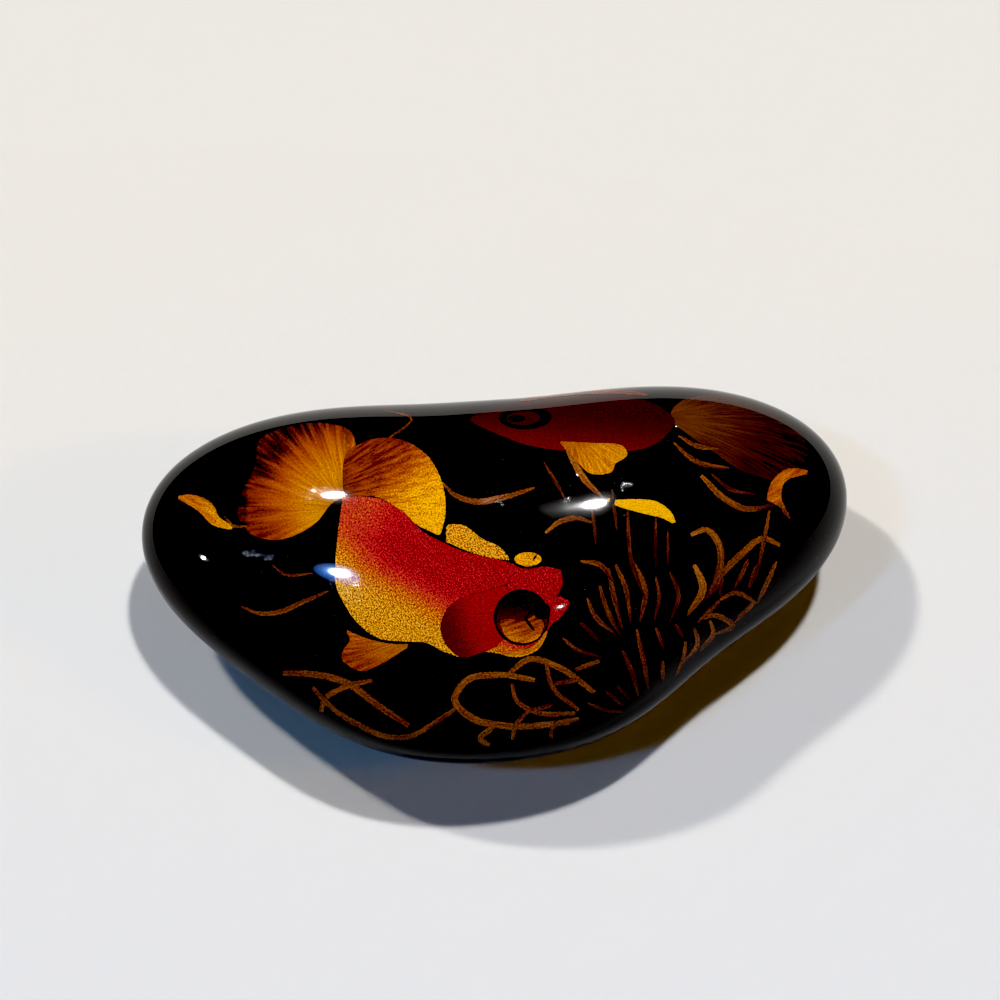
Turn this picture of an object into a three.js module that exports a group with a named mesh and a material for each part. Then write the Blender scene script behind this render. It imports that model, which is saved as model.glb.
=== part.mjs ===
// A pebble-shaped lacquered bowl for go stones, with a lift-off lid.
// Millimetres, +Z up. The origin is on the table under the middle of the pebble.
import * as THREE from 'three';

// Outline of the widest line: a mean radius, and the waves that make it a rounded triangle
const MEAN_RADIUS = 78.4;
const OUTLINE_WAVES = [
  { count: 2, cosine: 0.2, sine: 0.066 },
  { count: 3, cosine: -0.016, sine: 0.119 },
  { count: 4, cosine: 0.02, sine: 0.015 },
  { count: 5, cosine: -0.01, sine: 0.03 },
];

// Side profile: how full the belly is, and how far the crown and the underside reach
const BELLY_POWER = 2.2;
const CROWN_RISE = 27.5;
const UNDERSIDE_DROP = 26;
const FLAT_BASE_DROP = 23.6;
const CROWN_SHIFT = [23, -23];

// Heights above the table
const FOOT_HEIGHT = 1.4;
const WIDEST_Z = FOOT_HEIGHT + FLAT_BASE_DROP;
const JOINT_Z = 16.2;
const JOINT_GAP = 0.2;
const LEDGE_Z = 13.2;
const LAND_HEIGHT = 6;
const RING_TOP_Z = 30.5;

// Layers, measured in from the outside
const COAT = 0.8;
const BOND = 0.1;
const LID_WALL = 6.1;
const FLOOR_WALL = 4.8;
const LINING = 0.7;

// Inner ring that the lid drops over
const RING_CLEARANCE = 0.35;
const RING_THICKNESS = 2.6;
const RING_FIT = 0.15;
const RING_EDGE = 0.7;
const RING_OUT = LID_WALL + BOND + LINING + RING_CLEARANCE;
const RING_IN = RING_OUT + RING_THICKNESS;

// Felt feet under the flat base, each at a share of the outline
const FOOT_RADIUS = 5;
const FOOT_SHARE = 0.34;
const FOOT_ANGLES = [20, 155, 232, 305];

// Steps around the pebble and up its layers
const AROUND = 48;
const CROWN_STEPS = 10;
const UNDERSIDE_STEPS = 6;
const FLOOR_STEPS = 4;

const black = new THREE.MeshStandardMaterial({ color: 0x070606, roughness: 0.06, metalness: 0 });
const vermilion = new THREE.MeshStandardMaterial({ color: 0x8e1a10, roughness: 0.15, metalness: 0 });
const wood = new THREE.MeshStandardMaterial({ color: 0xa9865c, roughness: 0.6, metalness: 0 });
const felt = new THREE.MeshStandardMaterial({ color: 0x1c1a1a, roughness: 0.95, metalness: 0 });

function outlineRadius(angle) {
  let scale = 1;
  for (const wave of OUTLINE_WAVES) {
    scale += wave.cosine * Math.cos(wave.count * angle);
    scale += wave.sine * Math.sin(wave.count * angle);
  }
  return MEAN_RADIUS * scale;
}

// Middle of the widest line's box, so that the pebble stands centred on the origin
function outlineMiddle() {
  const box = new THREE.Box2();
  for (let step = 0; step < AROUND; step += 1) {
    const angle = (2 * Math.PI * step) / AROUND;
    const radius = outlineRadius(angle);
    box.expandByPoint(new THREE.Vector2(radius * Math.cos(angle), radius * Math.sin(angle)));
  }
  return box.getCenter(new THREE.Vector2());
}

const MIDDLE = outlineMiddle();

// Share of the outline that is left at an angle up (+) or down (-) the side profile
function spreadAt(tilt) {
  return Math.cos(tilt) ** (2 / BELLY_POWER);
}

// Height of the side profile at that angle, for a layer set in from the outside
function heightAt(tilt, inset) {
  const full = tilt > 0 ? CROWN_RISE : UNDERSIDE_DROP;
  return WIDEST_Z + (full - inset) * Math.sin(tilt);
}

// The angle at which a layer of the underside passes a height
function undersideTilt(z, inset) {
  return -Math.asin((WIDEST_Z - z) / (UNDERSIDE_DROP - inset));
}

// One closed loop of points around the pebble
function loop(z, radiusAt, shift) {
  const points = [];
  for (let step = 0; step < AROUND; step += 1) {
    const angle = (2 * Math.PI * step) / AROUND;
    const radius = radiusAt(angle);
    const x = shift * CROWN_SHIFT[0] + radius * Math.cos(angle) - MIDDLE.x;
    const y = shift * CROWN_SHIFT[1] + radius * Math.sin(angle) - MIDDLE.y;
    points.push(new THREE.Vector3(x, y, z));
  }
  return points;
}

// The pebble's own surface, set in by a layer's depth; above the widest line
// the loops shrink toward the crown, which stands off to one side
function shellLoop(tilt, inset) {
  const spread = spreadAt(tilt);
  const shift = tilt > 0 ? 1 - spread : 0;
  return loop(heightAt(tilt, inset), (angle) => spread * (outlineRadius(angle) - inset), shift);
}

// Straight-sided loops: the outline at the joint, set in by a distance
const JOINT_SPREAD = spreadAt(undersideTilt(JOINT_Z, 0));

function jointLoop(z, inset) {
  return loop(z, (angle) => JOINT_SPREAD * outlineRadius(angle) - inset, 0);
}

// Skins a stack of loops; with ends given, each end closes on its own point
function solid(name, material, loops, ends) {
  const positions = [];
  for (const points of loops) for (const point of points) positions.push(...point.toArray());
  const indices = [];
  const bands = ends ? loops.length - 1 : loops.length;
  for (let band = 0; band < bands; band += 1) {
    const lower = band * AROUND;
    const upper = ((band + 1) % loops.length) * AROUND;
    for (let step = 0; step < AROUND; step += 1) {
      const next = (step + 1) % AROUND;
      indices.push(lower + step, lower + next, upper + next);
      indices.push(lower + step, upper + next, upper + step);
    }
  }
  if (ends) {
    const last = (loops.length - 1) * AROUND;
    const first = positions.length / 3;
    for (const end of ends) positions.push(...end.toArray());
    for (let step = 0; step < AROUND; step += 1) {
      const next = (step + 1) % AROUND;
      indices.push(first, next, step);
      indices.push(first + 1, last + step, last + next);
    }
  }
  const geometry = new THREE.BufferGeometry();
  geometry.setAttribute('position', new THREE.Float32BufferAttribute(positions, 3));
  geometry.setIndex(indices);
  geometry.computeVertexNormals();
  const mesh = new THREE.Mesh(geometry, material);
  mesh.name = name;
  return mesh;
}

// Outside of the bowl, from the middle of its flat base up to the joint
function bowlLoops(inset) {
  const rim = undersideTilt(JOINT_Z - JOINT_GAP / 2, inset);
  const base = undersideTilt(FOOT_HEIGHT + inset, inset);
  const loops = [];
  for (let step = 0; step <= UNDERSIDE_STEPS; step += 1) {
    loops.push(shellLoop(base + (rim - base) * (step / UNDERSIDE_STEPS), inset));
  }
  return loops;
}

function basePoint(inset) {
  return new THREE.Vector3(-MIDDLE.x, -MIDDLE.y, FOOT_HEIGHT + inset);
}

// The crown, from the widest line almost up to the crown's own point
function crownLoops(inset) {
  const loops = [];
  for (let step = 0; step < CROWN_STEPS; step += 1) {
    loops.push(shellLoop((Math.PI / 2) * (step / CROWN_STEPS), inset));
  }
  return loops;
}

function crownPoint(inset) {
  const [x, y] = CROWN_SHIFT;
  return new THREE.Vector3(x - MIDDLE.x, y - MIDDLE.y, WIDEST_Z + CROWN_RISE - inset);
}

// Outside of the lid: from the joint out to the widest line and over the crown
function domeLoops(inset) {
  const rim = undersideTilt(JOINT_Z + JOINT_GAP / 2, inset);
  return [shellLoop(rim, inset), shellLoop(rim / 2, inset), ...crownLoops(inset)];
}

// Inside of the lid: a straight land at the mouth, then the hollow
function hollowLoops(inset) {
  const mouth = JOINT_Z + JOINT_GAP / 2;
  return [jointLoop(mouth, inset), jointLoop(mouth + LAND_HEIGHT, inset), ...crownLoops(inset)];
}

// Inside of the bowl: from inside the ring's ledge down to the floor, lifted by a layer
function floorLoops(lift) {
  const inset = COAT + BOND + FLOOR_WALL;
  const edge = undersideTilt(LEDGE_Z, inset);
  const floor = undersideTilt(FOOT_HEIGHT + inset, inset);
  const loops = [jointLoop(LEDGE_Z, RING_IN + RING_FIT)];
  for (let step = 0; step <= FLOOR_STEPS; step += 1) {
    loops.push(shellLoop(edge + (floor - edge) * (step / FLOOR_STEPS), inset));
  }
  for (const points of loops) for (const point of points) point.z += lift;
  return loops;
}

function floorPoint(lift) {
  return basePoint(COAT + BOND + FLOOR_WALL + lift);
}

const pebble = new THREE.Group();

// Bowl: a turned wooden dish, its black coat, its red floor and its standing ring
const bowlRim = JOINT_Z - JOINT_GAP / 2;
const dishOutside = bowlLoops(COAT + BOND);
const rebate = [
  jointLoop(bowlRim, RING_OUT - RING_FIT),
  jointLoop(LEDGE_Z, RING_OUT - RING_FIT),
];
const dish = [...dishOutside, ...rebate, ...floorLoops(0)];
pebble.add(solid('bowl_core', wood, dish, [basePoint(COAT + BOND), floorPoint(0)]));

const bowlCoat = [...bowlLoops(0), ...bowlLoops(COAT).reverse()];
pebble.add(solid('bowl_lacquer', black, bowlCoat, [basePoint(0), basePoint(COAT)]));

const floorCoat = [...floorLoops(BOND).reverse(), ...floorLoops(BOND + LINING)];
const floorEnds = [floorPoint(BOND), floorPoint(BOND + LINING)];
pebble.add(solid('bowl_lining', vermilion, floorCoat, floorEnds));

const ringFoot = LEDGE_Z + BOND;
const ringLoops = [
  jointLoop(ringFoot, RING_OUT),
  jointLoop(RING_TOP_Z - RING_EDGE, RING_OUT),
  jointLoop(RING_TOP_Z, RING_OUT + RING_EDGE),
  jointLoop(RING_TOP_Z, RING_IN - RING_EDGE),
  jointLoop(RING_TOP_Z - RING_EDGE, RING_IN),
  jointLoop(ringFoot, RING_IN),
];
pebble.add(solid('inner_ring', vermilion, ringLoops));

// Lid: the same three layers over the crown
const lidCoat = [...domeLoops(COAT).reverse(), ...domeLoops(0)];
pebble.add(solid('lid_lacquer', black, lidCoat, [crownPoint(COAT), crownPoint(0)]));

const lidWood = [...hollowLoops(LID_WALL).reverse(), ...domeLoops(COAT + BOND)];
pebble.add(solid('lid_core', wood, lidWood, [crownPoint(LID_WALL), crownPoint(COAT + BOND)]));

const liningOut = LID_WALL + BOND;
const liningIn = liningOut + LINING;
const lidLining = [...hollowLoops(liningIn).reverse(), ...hollowLoops(liningOut)];
pebble.add(solid('lid_lining', vermilion, lidLining, [crownPoint(liningIn), crownPoint(liningOut)]));

// Four felt feet on the flat base
FOOT_ANGLES.forEach((degrees, index) => {
  const height = FOOT_HEIGHT - BOND / 2;
  const disc = new THREE.CylinderGeometry(FOOT_RADIUS, FOOT_RADIUS, height, 24);
  const foot = new THREE.Mesh(disc, felt);
  const angle = THREE.MathUtils.degToRad(degrees);
  const reach = FOOT_SHARE * outlineRadius(angle);
  foot.name = `foot_${index + 1}`;
  foot.rotation.x = Math.PI / 2;
  foot.position.set(
    reach * Math.cos(angle) - MIDDLE.x,
    reach * Math.sin(angle) - MIDDLE.y,
    height / 2,
  );
  pebble.add(foot);
});

export default pebble;
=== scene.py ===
"""A pebble-shaped lacquered bowl for go stones, painted with goldfish and waterweed.

Lengths are millimetres until a mesh is made, and every piece is in the CAD model's own frame.
"""

import math

import bpy
import numpy as np
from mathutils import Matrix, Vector, geometry


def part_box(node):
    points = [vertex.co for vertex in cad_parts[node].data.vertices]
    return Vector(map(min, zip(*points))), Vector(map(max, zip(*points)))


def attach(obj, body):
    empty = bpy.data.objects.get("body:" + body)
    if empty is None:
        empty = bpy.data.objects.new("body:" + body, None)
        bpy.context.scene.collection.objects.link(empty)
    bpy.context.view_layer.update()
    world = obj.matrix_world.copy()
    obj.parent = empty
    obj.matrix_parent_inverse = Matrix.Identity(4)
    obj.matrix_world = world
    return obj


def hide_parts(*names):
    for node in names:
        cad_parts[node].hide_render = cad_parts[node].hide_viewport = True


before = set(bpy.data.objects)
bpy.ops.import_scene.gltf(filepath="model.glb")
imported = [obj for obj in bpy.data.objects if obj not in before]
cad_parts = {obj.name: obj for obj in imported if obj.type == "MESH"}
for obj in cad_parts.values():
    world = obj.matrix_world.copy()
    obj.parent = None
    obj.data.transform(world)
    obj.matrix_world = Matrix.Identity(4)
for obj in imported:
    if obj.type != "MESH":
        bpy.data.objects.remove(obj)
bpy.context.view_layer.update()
MM = 0.001

# The pebble's shape, as in the CAD model
MEAN_RADIUS = 78.4
OUTLINE_WAVES = [(2, 0.2, 0.066), (3, -0.016, 0.119), (4, 0.02, 0.015), (5, -0.01, 0.03)]
BELLY_POWER = 2.2
CROWN_RISE = 27.5
UNDERSIDE_DROP = 26
CROWN_SHIFT = (23, -23)
FOOT_HEIGHT = 1.4
WIDEST_Z = 25.0
JOINT_Z = 16.2
JOINT_GAP = 0.2
LEDGE_Z = 13.2
LAND_HEIGHT = 6
RING_TOP_Z = 30.5
LID_WALL = 6.1
BOWL_WALL = 5.7
BOND = 0.1
LINING = 0.7
RING_OUT = 7.25
RING_IN = 9.85
RING_FIT = 0.15
RING_EDGE = 0.7
RIM_ROUND = 0.45
CAD_AROUND = 48

# The lid's red lining: how far above the mouth it starts, and the share of it left clear behind it
LINING_START = 1.45
LINING_GAP_SHARE = 0.1

# How finely the shells are made
AROUND = 288
CROWN_STEPS = 60
SIDE_STEPS = 12
ROUND_STEPS = 5

# The view: the camera stands in front, looking down at about 45 degrees
LOOK_AT = Vector((0.9, 26.4, 23.5))
VIEW_ELEVATION = math.radians(45.1)
VIEW_DISTANCE = 679
LENS = 85.5
LOOK_ALONG = Vector((0, math.cos(VIEW_ELEVATION), -math.sin(VIEW_ELEVATION)))
EYE = LOOK_AT - LOOK_ALONG * VIEW_DISTANCE

# The painting: how far paint stands above the lacquer and reaches into it, how finely it is cut
# up, and how its points are laid on the lid
PAINT_LIFT = 0.03
LEVEL_STEP = 0.012
PAINT_DEPTH = 0.12
PAINT_STEP = 0.8
STROKE_FULLNESS = 1.15
FILL_STEP = 1.0
OVAL_POINTS = 16
BRUSH_ACROSS = np.array([-1, -0.5, 0, 0.5, 1])
EYE_REACH = 110
SEARCH_STEPS = 160
SEARCH_HALVINGS = 24

# Lamps and table
TABLE_HALF_SIDE = 6.0
FAR_LIGHT_ANGLE = math.radians(4.2)
FAR_LIGHT_DISTANCE = 900
GLINT_DISTANCE = 1500
HALO_RINGS = 4


# ---------------------------------------------------------------- the pebble's surface

def outline_radius(angle):
    scale = 1 + 0 * angle
    for count, cosine, sine in OUTLINE_WAVES:
        scale = scale + cosine * np.cos(count * angle) + sine * np.sin(count * angle)
    return MEAN_RADIUS * scale


def outline_middle():
    """Middle of the widest line's box, which stands over the origin."""
    angle = np.arange(CAD_AROUND) * 2 * np.pi / CAD_AROUND
    radius = outline_radius(angle)
    x, y = radius * np.cos(angle), radius * np.sin(angle)
    return np.array([x.max() + x.min(), y.max() + y.min()]) / 2


MIDDLE = outline_middle()
ANGLES = np.arange(AROUND) * 2 * np.pi / AROUND


def spread_at(tilt):
    """Share of the outline that is left at an angle up (+) or down (-) the side profile."""
    return math.cos(tilt) ** (2 / BELLY_POWER)


def underside_tilt(z, inset):
    return -math.asin((WIDEST_Z - z) / (UNDERSIDE_DROP - inset))


def loop(z, radius, shift=0.0):
    """One closed loop of points around the pebble."""
    x = shift * CROWN_SHIFT[0] + radius * np.cos(ANGLES) - MIDDLE[0]
    y = shift * CROWN_SHIFT[1] + radius * np.sin(ANGLES) - MIDDLE[1]
    return np.stack([x, y, np.full(AROUND, z)], axis=1)


def shell_loop(tilt, inset, lift=0.0):
    spread = spread_at(tilt)
    full = CROWN_RISE if tilt > 0 else UNDERSIDE_DROP
    shift = 1 - spread if tilt > 0 else 0
    z = WIDEST_Z + (full - inset) * math.sin(tilt) + lift
    return loop(z, spread * (outline_radius(ANGLES) - inset), shift)


def wall_loop(z, inset):
    """The underside's own outline at a height, set in by a distance."""
    return loop(z, spread_at(underside_tilt(z, 0)) * outline_radius(ANGLES) - inset)


def joint_loop(z, inset):
    """A straight-sided wall: the outline at the joint, set in by a distance."""
    return loop(z, spread_at(underside_tilt(JOINT_Z, 0)) * outline_radius(ANGLES) - inset)


def crown_loops(inset):
    tilts = np.linspace(0, math.pi / 2, CROWN_STEPS, endpoint=False)
    return [shell_loop(tilt, inset) for tilt in tilts]


def end_point(z, shift=0.0):
    return np.array([shift * CROWN_SHIFT[0] - MIDDLE[0], shift * CROWN_SHIFT[1] - MIDDLE[1], z])


def depth_under(points):
    """Below zero inside the pebble and above zero outside it."""
    rise = points[..., 2] - WIDEST_Z
    share = np.clip(rise / np.where(rise > 0, CROWN_RISE, UNDERSIDE_DROP), -1, 1)
    spread = (1 - share**2) ** (1 / BELLY_POWER)
    shift = np.where(rise > 0, 1 - spread, 0)
    x = points[..., 0] + MIDDLE[0] - shift * CROWN_SHIFT[0]
    y = points[..., 1] + MIDDLE[1] - shift * CROWN_SHIFT[1]
    return np.hypot(x, y) - spread * outline_radius(np.arctan2(y, x))


def surface_normals(points):
    """The pebble's own normals, which keep the gloss running smoothly over the paint."""
    reach = 0.05
    steps = np.eye(3) * reach
    slope = [depth_under(points + step) - depth_under(points - step) for step in steps]
    normals = np.stack(slope, axis=-1)
    top = points[..., 2] > WIDEST_Z + CROWN_RISE - reach
    normals[top] = (0, 0, 1)
    return normals / np.linalg.norm(normals, axis=-1, keepdims=True)


# ---------------------------------------------------------------- meshes

def make_mesh(name, points, faces, material, body, replaced=(), normals=None):
    mesh = bpy.data.meshes.new(name)
    mesh.from_pydata((np.asarray(points) * MM).tolist(), [], faces)
    mesh.update()
    mesh.polygons.foreach_set("use_smooth", [True] * len(mesh.polygons))
    if normals is not None:
        mesh.normals_split_custom_set_from_vertices(normals.tolist())
    mesh.materials.append(material)
    piece = bpy.data.objects.new(name, mesh)
    bpy.context.scene.collection.objects.link(piece)
    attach(piece, body)
    if replaced:
        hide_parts(*replaced)
    return piece


def skin_faces(rows, around, closed):
    """Quads between stacked loops, wound so that they face out when the stack climbs the outside."""
    faces = []
    for row in range(rows if closed else rows - 1):
        lower, upper = row * around, ((row + 1) % rows) * around
        for step in range(around):
            following = (step + 1) % around
            faces.append((lower + step, lower + following, upper + following, upper + step))
    return faces


def shell(name, loops, ends, material, body, replaced):
    """A closed solid from a stack of loops; ends are the points that the stack closes on."""
    around = len(loops[0])
    points = np.concatenate(loops)
    faces = skin_faces(len(loops), around, closed=not ends)
    if ends:
        first, last = len(points), (len(loops) - 1) * around
        points = np.concatenate([points, np.array(ends)])
        for step in range(around):
            following = (step + 1) % around
            faces.append((first, following, step))
            faces.append((first + 1, last + step, last + following))
    piece = make_mesh(name, points, faces, material, body, replaced)
    outside = np.abs(depth_under(points)) < 0.02
    outside &= points[:, 2] > FOOT_HEIGHT + 0.01
    normals = np.array([vertex.normal for vertex in piece.data.vertices])
    normals[outside] = surface_normals(points[outside])
    piece.data.normals_split_custom_set_from_vertices(normals.tolist())
    return piece


def rounded(z, outward, inset, radius, top):
    """Heights and insets of a rounded rim edge; top says that it is an upper edge."""
    turn = np.linspace(0, math.pi / 2, ROUND_STEPS)
    heights = z + (-1 if top else 1) * radius * (1 - np.sin(turn))
    insets = inset + (1 if outward else -1) * radius * (1 - np.cos(turn))
    return list(zip(heights, insets))


def make_lid(black, red):
    mouth = JOINT_Z + JOINT_GAP / 2
    outer_edge = rounded(mouth, True, 0, RIM_ROUND, False)
    inner_edge = rounded(mouth, False, LID_WALL + LINING, RIM_ROUND, False)[::-1]
    tilts = np.linspace(underside_tilt(outer_edge[0][0], 0), 0, SIDE_STEPS, endpoint=False)
    inside = [joint_loop(z, inset) for z, inset in inner_edge]
    inside += [joint_loop(mouth + 1.2, LID_WALL + LINING), joint_loop(mouth + 1.4, LID_WALL)]
    inside += [joint_loop(mouth + LAND_HEIGHT, LID_WALL), *crown_loops(LID_WALL)]
    outside = [wall_loop(z, inset) for z, inset in outer_edge[::-1]]
    outside += [shell_loop(tilt, 0) for tilt in tilts[1:]] + crown_loops(0)
    crown = WIDEST_Z + CROWN_RISE
    ends = [end_point(crown - LID_WALL, 1), end_point(crown, 1)]
    shell("lid_coat", inside[::-1] + outside, ends, black, "lid",
          ["lid_lacquer", "lid_core"])

    near, far = LID_WALL + LINING, LID_WALL + LINING * LINING_GAP_SHARE
    mouth += LINING_START
    land = mouth + LAND_HEIGHT - LINING_START
    front = [joint_loop(mouth, near), joint_loop(land, near), *crown_loops(near)]
    back = [joint_loop(mouth, far), joint_loop(land, far), *crown_loops(far)]
    ends = [end_point(crown - near, 1), end_point(crown - far, 1)]
    shell("lid_red_inside", front[::-1] + back, ends, red, "lid", ["lid_lining"])


def make_bowl(black, red):
    rim = JOINT_Z - JOINT_GAP / 2
    base = underside_tilt(FOOT_HEIGHT, 0)
    outer_edge = rounded(rim, True, 0, RIM_ROUND, True)
    tilts = np.linspace(base, underside_tilt(outer_edge[0][0], 0), 2 * SIDE_STEPS, endpoint=False)
    base_radius = spread_at(base) * outline_radius(ANGLES)
    outside = [loop(FOOT_HEIGHT, base_radius * share) for share in (0.5, 0.9, 0.98)]
    outside += [shell_loop(tilt, 0) for tilt in tilts]
    outside += [wall_loop(z, inset) for z, inset in outer_edge]
    rebate = RING_OUT - RING_FIT
    inner_edge = rounded(rim, False, rebate, RIM_ROUND / 2, True)[::-1]
    inside = [joint_loop(z, inset) for z, inset in inner_edge]
    inside += [joint_loop(LEDGE_Z, rebate), joint_loop(LEDGE_Z, RING_IN + RING_FIT)]
    floor_tilts = np.linspace(underside_tilt(LEDGE_Z, BOWL_WALL),
                              underside_tilt(FOOT_HEIGHT + BOWL_WALL, BOWL_WALL), SIDE_STEPS)
    inside += [shell_loop(tilt, BOWL_WALL) for tilt in floor_tilts]
    ends = [end_point(FOOT_HEIGHT), end_point(FOOT_HEIGHT + BOWL_WALL)]
    shell("bowl_coat", outside + inside, ends, black, "bowl",
          ["bowl_lacquer", "bowl_core"])

    def floor(lift):
        edge = joint_loop(LEDGE_Z + lift, RING_IN + RING_FIT)
        return [edge] + [shell_loop(tilt, BOWL_WALL, lift) for tilt in floor_tilts]

    low, high = BOND, BOND + LINING
    ends = [end_point(FOOT_HEIGHT + BOWL_WALL + low), end_point(FOOT_HEIGHT + BOWL_WALL + high)]
    shell("bowl_red_floor", floor(low)[::-1] + floor(high), ends, red, "bowl",
          ["bowl_lining"])

    foot = LEDGE_Z + BOND
    ring = [(foot, RING_OUT)] + rounded(RING_TOP_Z, True, RING_OUT, RING_EDGE, True)
    ring += rounded(RING_TOP_Z, False, RING_IN, RING_EDGE, True)[::-1] + [(foot, RING_IN)]
    loops = [joint_loop(z, inset) for z, inset in ring]
    shell("standing_ring", loops, None, red, "bowl", ["inner_ring"])


def make_feet(felt):
    """Soft round felt pads, a little fuller at their middles than at their edges."""
    generator = np.random.default_rng(5)
    around, sections = 48, [(0.0, 0.55), (0.0, 0.93), (0.18, 0.99), (0.6, 1.0), (1.0, 0.985), (1.0, 0.5)]
    for number in range(1, 5):
        low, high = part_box(f"foot_{number}")
        middle = (np.array(low) + np.array(high)) / 2 / MM
        height = (high[2] - low[2]) / MM
        radius = (high[0] - low[0]) / 2 / MM
        angle = np.arange(around) * 2 * np.pi / around
        uneven = 1 - 0.015 * generator.random(around)
        loops = []
        for share, reach in sections:
            x = middle[0] + radius * reach * uneven * np.cos(angle)
            y = middle[1] + radius * reach * uneven * np.sin(angle)
            loops.append(np.stack([x, y, np.full(around, share * height)], axis=1))
        ends = [np.array([middle[0], middle[1], 0.0]), np.array([middle[0], middle[1], height])]
        shell(f"felt_foot_{number}", loops, ends, felt, "bowl", [f"foot_{number}"])


# ---------------------------------------------------------------- brushwork

def smooth_line(points, closed=False, step=PAINT_STEP):
    """A flowing curve through a few points; a point given twice in a row is a sharp corner."""
    points = [np.array(point, dtype=float) for point in points]
    runs, run = [], [points[0]]
    for point in points[1:]:
        if np.allclose(point, run[-1]):
            runs.append(run)
            run = []
        run.append(point)
    runs.append(run)
    cornered = len(runs) > 1
    if closed:
        runs[0] = runs.pop() + runs[0] if cornered else runs[0] + runs[0][:1]
    pieces = [smooth_run(np.array(run), closed and not cornered, step) for run in runs]
    line = np.concatenate(pieces)
    keep = np.linalg.norm(np.diff(line, axis=0), axis=1) > 1e-6
    line = np.concatenate([line[:-1][keep], line[-1:]])
    if closed and np.allclose(line[0], line[-1]):
        line = line[:-1]
    return line


def smooth_run(points, round_again, step):
    """Hermite spans through the points of one run, each span cut into even steps."""
    spans = np.linalg.norm(np.diff(points, axis=0), axis=1)
    slopes = np.diff(points, axis=0) / spans[:, None]
    tangents = np.empty_like(points)
    tangents[0], tangents[-1] = slopes[0], slopes[-1]
    for index in range(1, len(points) - 1):
        before, after = spans[index - 1], spans[index]
        tangents[index] = (slopes[index - 1] * after + slopes[index] * before) / (before + after)
    if round_again:
        tangents[0] = (slopes[-1] * spans[0] + slopes[0] * spans[-1]) / (spans[0] + spans[-1])
        tangents[-1] = tangents[0]
    line = [points[:1]]
    for index, span in enumerate(spans):
        t = np.linspace(0, 1, max(2, round(span / step) + 1))[1:, None]
        start, end = points[index], points[index + 1]
        line.append((2 * t**3 - 3 * t**2 + 1) * start + (3 * t**2 - 2 * t**3) * end
                    + (t**3 - 2 * t**2 + t) * span * tangents[index]
                    + (t**3 - t**2) * span * tangents[index + 1])
    return np.concatenate(line)


def from_the_front(flat):
    """Paths from the painter's eye through a plane across the lid: u to the right, v up."""
    right = np.array([1, 0, 0])
    up = np.cross(right, LOOK_ALONG)
    on_plane = np.array(LOOK_AT) + flat[:, :1] * right + flat[:, 1:] * up
    way = on_plane - np.array(EYE)
    way /= np.linalg.norm(way, axis=1, keepdims=True)
    return on_plane - EYE_REACH * way, on_plane + EYE_REACH * way


def from_above(flat):
    """Paths straight down on to the lid: x to the right, y to the back."""
    high = np.column_stack([flat, np.full(len(flat), WIDEST_Z + CROWN_RISE + 5)])
    low = np.column_stack([flat, np.full(len(flat), WIDEST_Z)])
    return high, low


def settle(flat, paths):
    """Where each path first meets the pebble."""
    start, end = paths(flat)
    shares = np.linspace(0, 1, SEARCH_STEPS)
    outside = np.zeros(len(flat))
    found = np.zeros(len(flat), dtype=bool)
    for share in shares:
        inside = depth_under(start + (end - start) * share) < 0
        found |= inside
        outside = np.where(found, outside, share)
    low, high = outside, outside + shares[1]
    for _ in range(SEARCH_HALVINGS):
        middle = (low + high) / 2
        inside = depth_under(start + (end - start) * middle[:, None]) < 0
        high = np.where(inside, middle, high)
        low = np.where(inside, low, middle)
    return start + (end - start) * high[:, None]


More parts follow.
